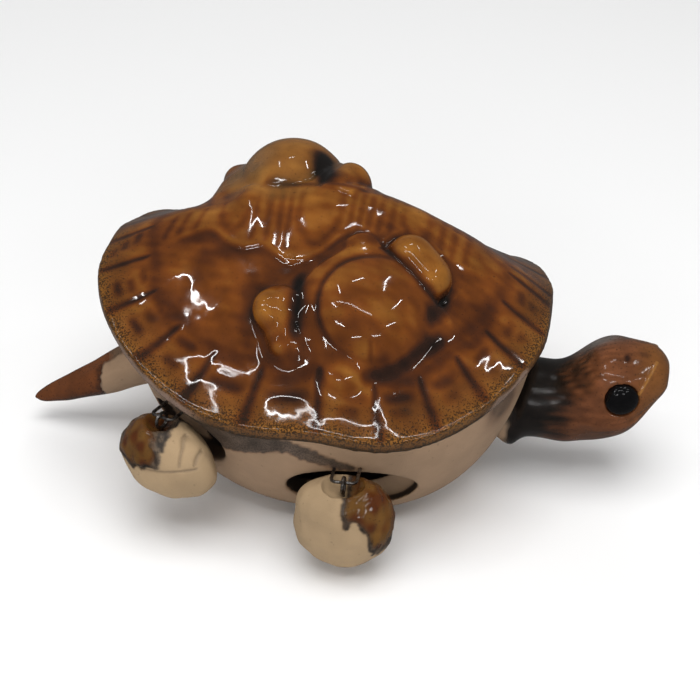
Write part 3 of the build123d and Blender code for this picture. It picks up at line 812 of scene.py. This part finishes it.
def make_head():
    piece = skin("head", "head_and_neck", HEAD_VOXEL, HEAD_SOFTENING)
    place = points(piece)
    x, y, z = place.T
    aside = np.abs(y)
    nostril = blot(x, aside, NOSTRIL, (0.7, 1.0)) * (z > SNOUT_TOP)
    smudge = blot(x, aside, SMUDGE, (1.4, 0.9)) * (z > SNOUT_TOP)
    lip = stroke(MOUTH, 0.45, x, z) * (aside > 1)
    ridge = stroke(HEAD_RIDGE, 0.32, x, z) * (aside > 3)
    brow = blot(x, z, BROW, (4.2, 1.1)) * (aside > 4)
    lumps = wobble(place, 9, 41) * 0.1
    outside = ramp(40, 43, x)
    dent = 0.15 * nostril + 0.06 * lip - 0.2 * ridge - 0.2 * brow - lumps
    put_points(piece, place - normals(piece) * (dent * outside)[:, None])

    place = points(piece)
    streak = wobble(place * np.array([0.2, 1, 1]), 1.8, 46)
    fine = np.clip(hollowness(piece, 14) / 0.12, -1, 1)
    edge = x - 46.2 - 0.25 * (z - 20) + 1.3 * streak + 1.2 * wobble(place, 7, 42)
    front = ramp(-3.0, 6.0, edge)
    colour = mix(BLACK, HEAD_BROWN, front) * (1 + 0.16 * streak + 0.1 * wobble(place, 3, 47))[:, None]
    colour = mix(colour, SNOUT_AMBER, ramp(58, 65, x) * 0.6)
    colour = mix(colour, RIDGE_HONEY, ridge * 0.7)
    colour = mix(colour, UMBER, np.clip(0.6 * fine + 1.2 * nostril + 0.6 * smudge + 0.25 * lip, 0, 1))
    jaw = ramp(-18.0, -14.0, -z + 0.5 * streak) * ramp(46, 52, x)
    colour = mix(colour, mix(JAW_BROWN, JAW_STREAK, ramp(0, 0.8, streak)), jaw * 0.8)
    # Painted reflection: a grey sheen on the crown, where the glaze is also drier
    crown_sheen = blot(x, y, CROWN, (3.6, 2.2)) * ramp(25, SNOUT_TOP, z)
    grey = np.clip(1.4 * crown_sheen + 0.3 * streak * crown_sheen, 0, 1)
    colour = mix(colour, CROWN_SHEEN_GREY, grey * 0.85)
    bare = 1 - ramp(34, 36, x + 0.8 * wobble(place, 3, 45))
    dry = np.clip(0.1 + 0.6 * grey + 0.4 * jaw + 0.15 * (1 - front), 0, 1)
    paint(piece, colour, bare, dry, HEAD_SPECKS)
    piece.data.materials.append(BODY_CERAMIC)
    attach(piece, "head")


make_head()


# Tail, glazed over its outer half

TAIL_BROWN = srgb(96, 54, 28)
TAIL_UNDERSIDE = srgb(58, 36, 26)
TAIL_FACET = srgb(104, 80, 60)
TAIL_AXIS = [(-69.6, 5.3), (-63, 8.2), (-55, 12.0), (-47, 16.3), (-41.5, 19.4)]
TAIL_GLAZE_EDGE = 52.8
TAIL_SPECKS = 0.2
TAIL_VOXEL = 0.3
TAIL_SOFTENING = 4


def make_tail():
    piece = skin("tail", "tail_cone", TAIL_VOXEL, TAIL_SOFTENING)
    place = points(piece)
    x, y, z = place.T
    axis = np.interp(x, [p[0] for p in TAIL_AXIS], [p[1] for p in TAIL_AXIS])
    ridge = 0.5 * np.exp(-y ** 2) * (z > axis) * ramp(-40, -46, x)
    lumps = wobble(place, 7, 51) * 0.1
    put_points(piece, place + normals(piece) * (ridge + lumps)[:, None])
    place = points(piece)
    shift = 0.9 * wobble(place, 5, 52) + 0.4 * wobble(place, 1.8, 53)
    edge = -x - TAIL_GLAZE_EDGE + shift
    facet = ramp(2.8, 3.6, z - axis + 0.5 * shift) * (1 - ramp(2.0, 2.8, np.abs(y) + 0.3 * shift))
    glazed = np.maximum(ramp(-0.4, 0.4, edge), facet)
    below = ramp(0.5, -3.0, z - axis)
    colour = mix(TAIL_BROWN, TAIL_UNDERSIDE, np.clip(below + 0.25 * wobble(place, 6, 54), 0, 1))
    colour = mix(colour, UMBER, ramp(2.0, 0.2, edge) * (1 - facet) * 0.8)
    colour = mix(colour, TAIL_FACET, facet * ramp(-1, -4, edge))
    dry = np.maximum(0.35 * ramp(1.6, 0.0, edge), 0.6 * facet * ramp(0, -3, edge))
    paint(piece, colour, 1 - glazed, dry, TAIL_SPECKS)
    piece.data.materials.append(BODY_CERAMIC)
    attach(piece, "tail")


make_tail()


# Feet: pinched lumps of bare clay with a splash of glaze

FRONT_SPLASH = [
    (0.2, 12), (0.4, 7.2), (1.1, 4.4), (1.6, 3.8), (2.2, 4.4), (2.7, 5.0), (3.5, 4.6), (4.2, 3.6),
    (5.2, 2.3), (5.7, -2.4), (7.2, -2.8), (8.6, -3.4), (10, -4),
]
REAR_SPLASH = [(-12, 0.3), (-5, 0.6), (-1.9, 0.8), (0.6, 1.3), (2.7, 2.3)]
FRONT_CREASES = [[(-7.0, -4.4), (-5.4, -6.6), (-3.4, -8.0)]]
REAR_CREASES = [
    [(-3.0, 0.9), (0.6, 1.2), (4.5, 1.6), (8.6, 2.2)],
    [(4.6, 7.2), (5.6, 5.6), (6.0, 2.6)],
    [(7.6, 6.6), (8.3, 3.0)],
]
CREASE_WIDTH = 0.25
REAR_TURN = math.radians(22)
BURNT_BROWN = srgb(58, 46, 36)
PALE_ASH = srgb(94, 78, 62)
DARK_ASH = srgb(46, 38, 32)
CREASE_BROWN = srgb(96, 80, 64)
FOOT_VOXEL = 0.25
FOOT_SOFTENING = 5


def foot_axes(local, place_name):
    """Along the shell's side, out from it, and up."""
    outward = -1 if "right" in place_name else 1
    turn = 0 if place_name.startswith("front") else REAR_TURN * outward
    along = local[:, 0] * math.cos(turn) + local[:, 1] * math.sin(turn)
    out = (local[:, 1] * math.cos(turn) - local[:, 0] * math.sin(turn)) * outward
    return along, out, local[:, 2]


def splashed(splash, front, along, up, shift):
    """Which points of a foot lie in its splash of glaze."""
    line = flowing(splash, 3)
    limit = np.interp(along, [p[0] for p in line], [p[1] for p in line])
    if front:
        within = along > splash[0][0] + 0.4 * shift
    else:
        within = along < splash[-1][0] + shift
    return within & (up + shift > limit)


def make_foot(place_name, splash, creased, seed):
    """splash and creased are drawn along and up from the foot's middle; the glaze lies above the splash."""
    front = place_name.startswith("front")
    node_name = f"{place_name}_foot"
    low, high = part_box(node_name)
    middle = (np.array(low) + np.array(high)) / 2 / MM
    piece = skin(node_name, f"{place_name}_clay_foot", FOOT_VOXEL, FOOT_SOFTENING)
    place = points(piece)
    along, out, up = foot_axes(place - middle, place_name)
    lumps = wobble(place, 8, seed) * 0.22 + wobble(place, 3.5, seed + 1) * 0.06
    shift = 0.55 * wobble(place, 3.2, seed + 2) + 0.3 * wobble(place, 1.2, seed + 3)
    creases = np.zeros(len(place))
    for line in creased:
        creases = np.maximum(creases, stroke(line, CREASE_WIDTH, along, up))
    covered = splashed(splash, front, along, up, shift).astype(float)[:, None]
    glazed = relax(covered, edges(piece), 2)[:, 0]
    edge = relax(covered, edges(piece), 90)[:, 0]
    burnt = (1 - ramp(0.62, 0.97, edge)) * glazed

    relief = lumps - 0.3 * creases * (out > 0) + glazed * (0.14 + 0.12 * wobble(place, 2.4, seed + 6))
    facing_shell = 1 - ramp(-4.0, 0.0, out)
    relief = np.minimum(relief, 1.0 - 1.1 * facing_shell)
    put_points(piece, place + normals(piece) * relief[:, None])

    colour = mix(mix(BROWN, OLIVE, ramp(-0.9, 0.7, wobble(place, 4, seed + 4))), BURNT_BROWN, burnt)
    colour = mix(colour, BLACK, np.clip(burnt * 1.3 * wobble(place, 2.2, seed + 5), 0, 1))
    if front:
        scorched = 1 - ramp(-1.6, 0.6, up + shift)
    else:
        scorched = ramp(0.9, 1.25, np.hypot((along + 3.6) / 4.6, (up - 2.6) / 5.6) + 0.15 * shift)
    ashen = mix(PALE_ASH, DARK_ASH, ramp(-0.4, 0.7, wobble(place, 1.6, seed + 7)))
    colour = mix(colour, ashen, scorched)
    colour = mix(colour, CREASE_BROWN, creases * (1 - glazed))
    bare = (1 - glazed) * (1 - 0.45 * creases * (out > 0))
    dry = np.maximum(0.45 * ramp(0.2, 0.9, burnt), 0.75 * scorched) * glazed
    paint(piece, colour, bare, dry, 0.3 * np.maximum(burnt, scorched) + 0.1)
    piece.data.materials.append(FOOT_CERAMIC)
    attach(piece, node_name)


make_foot("front_right", FRONT_SPLASH, FRONT_CREASES, 60)
make_foot("front_left", FRONT_SPLASH, FRONT_CREASES, 70)
make_foot("rear_right", REAR_SPLASH, REAR_CREASES, 80)
make_foot("rear_left", REAR_SPLASH, REAR_CREASES, 90)


# Eyes and wires keep their CAD shape

def finish_node(name, material):
    for holder in nodes[name].material_slots:
        holder.material = material


for name in nodes:
    if name.endswith("_eye"):
        finish_node(name, EYE_GLAZE)
    elif name.endswith("_staple") or name.endswith("_hook"):
        finish_node(name, WIRE_STEEL)


# Stage: pale floor, ring of slim lamps, camera at the photograph's angle

FLOOR_REACH = 4
FLOOR_PALE = 0.9


def make_floor():
    mesh = bpy.data.meshes.new("floor")
    corners = [(FLOOR_REACH * x, FLOOR_REACH * y, 0) for x, y in ((-1, -1), (1, -1), (1, 1), (-1, 1))]
    mesh.from_pydata(corners, [], [(0, 1, 2, 3)])
    floor = bpy.data.objects.new("floor", mesh)
    bpy.context.scene.collection.objects.link(floor)
    made, tree = new_material("pale_floor")
    shader = node(tree, "BsdfPrincipled")
    shader.inputs["Base Color"].default_value = (FLOOR_PALE, FLOOR_PALE, FLOOR_PALE, 1)
    shader.inputs["Roughness"].default_value = 0.9
    shader.inputs["Specular IOR Level"].default_value = 0.1
    mesh.materials.append(finished(made, shader))
    floor.visible_glossy = False


def lamp(name, at, target, length, width, power):
    light = bpy.data.lights.new(name, "AREA")
    light.shape = "RECTANGLE"
    light.size = length
    light.size_y = width
    light.energy = power
    holder = bpy.data.objects.new(name, light)
    bpy.context.scene.collection.objects.link(holder)
    holder.location = at
    holder.rotation_euler = (Vector(target) - Vector(at)).to_track_quat("-Z", "Y").to_euler()
    return holder


make_floor()
RING_LAMPS = 9
RING_AXIS = Vector((0.08, -0.5, 0.86)).normalized()
RING_ACROSS = RING_AXIS.cross(Vector((1, 0, 0))).normalized()
RING_ASIDE = RING_AXIS.cross(RING_ACROSS)
RING_SPREAD = math.radians(38)
RING_DISTANCE = 0.85
RING_START = 0.3
STRIP_LENGTH = 0.18
STRIP_WIDTH = 0.007
STRIP_POWER = 0.22
for index in range(RING_LAMPS):
    bearing = 2 * math.pi * (index + RING_START) / RING_LAMPS
    off = RING_ACROSS * math.cos(bearing) + RING_ASIDE * math.sin(bearing)
    spot = RING_DISTANCE * (RING_AXIS * math.cos(RING_SPREAD) + off * math.sin(RING_SPREAD))
    lamp(f"strip_{index}", spot, (0, 0, 0), STRIP_LENGTH, STRIP_WIDTH, STRIP_POWER)

LIT_POINT = (0, 0, 0.03)
FRONT_STRIP_AT = (-0.1, -0.43, 0.71)
FRONT_STRIP_LENGTH = 0.7
FRONT_STRIP_WIDTH = 0.006
FRONT_STRIP_POWER = 0.55
lamp("front_strip", FRONT_STRIP_AT, LIT_POINT, FRONT_STRIP_LENGTH, FRONT_STRIP_WIDTH, FRONT_STRIP_POWER)
# Soft lamps light the piece without showing as squares in its glaze
Soft = namedtuple("Soft", "name at length width power")
for soft in (
    Soft("soft_top", (0.1, -0.25, 1.1), 0.9, 0.9, 9.8),
    Soft("soft_front", (0.15, -1.0, 0.4), 0.9, 0.5, 3.6),
    Soft("soft_back", (-0.3, 0.9, 0.5), 0.9, 0.5, 2.2),
):
    lamp(soft.name, soft.at, LIT_POINT, soft.length, soft.width, soft.power).visible_glossy = False

WORLD_STRENGTH = 0.12
world = bpy.data.worlds.new("studio")
world.use_nodes = True
world.node_tree.nodes["Background"].inputs["Color"].default_value = (1, 1, 1, 1)
world.node_tree.nodes["Background"].inputs["Strength"].default_value = WORLD_STRENGTH
bpy.context.scene.world = world

AZIMUTH = math.radians(9.35)
ELEVATION = math.radians(31.36)
TARGET = Vector((0.00151, 0, 0.02472))
DISTANCE = 0.28404
LENS = 69.59
SENSOR = 36
aim = Vector((
    math.sin(AZIMUTH) * math.cos(ELEVATION), -math.cos(AZIMUTH) * math.cos(ELEVATION), math.sin(ELEVATION)
))
camera = bpy.data.objects.new("camera", bpy.data.cameras.new("camera"))
bpy.context.scene.collection.objects.link(camera)
camera.data.lens = LENS
camera.data.sensor_width = SENSOR
camera.location = TARGET + aim * DISTANCE
camera.rotation_euler = (-aim).to_track_quat("-Z", "Y").to_euler()
bpy.context.scene.camera = camera
bpy.context.scene.view_settings.view_transform = "Standard"
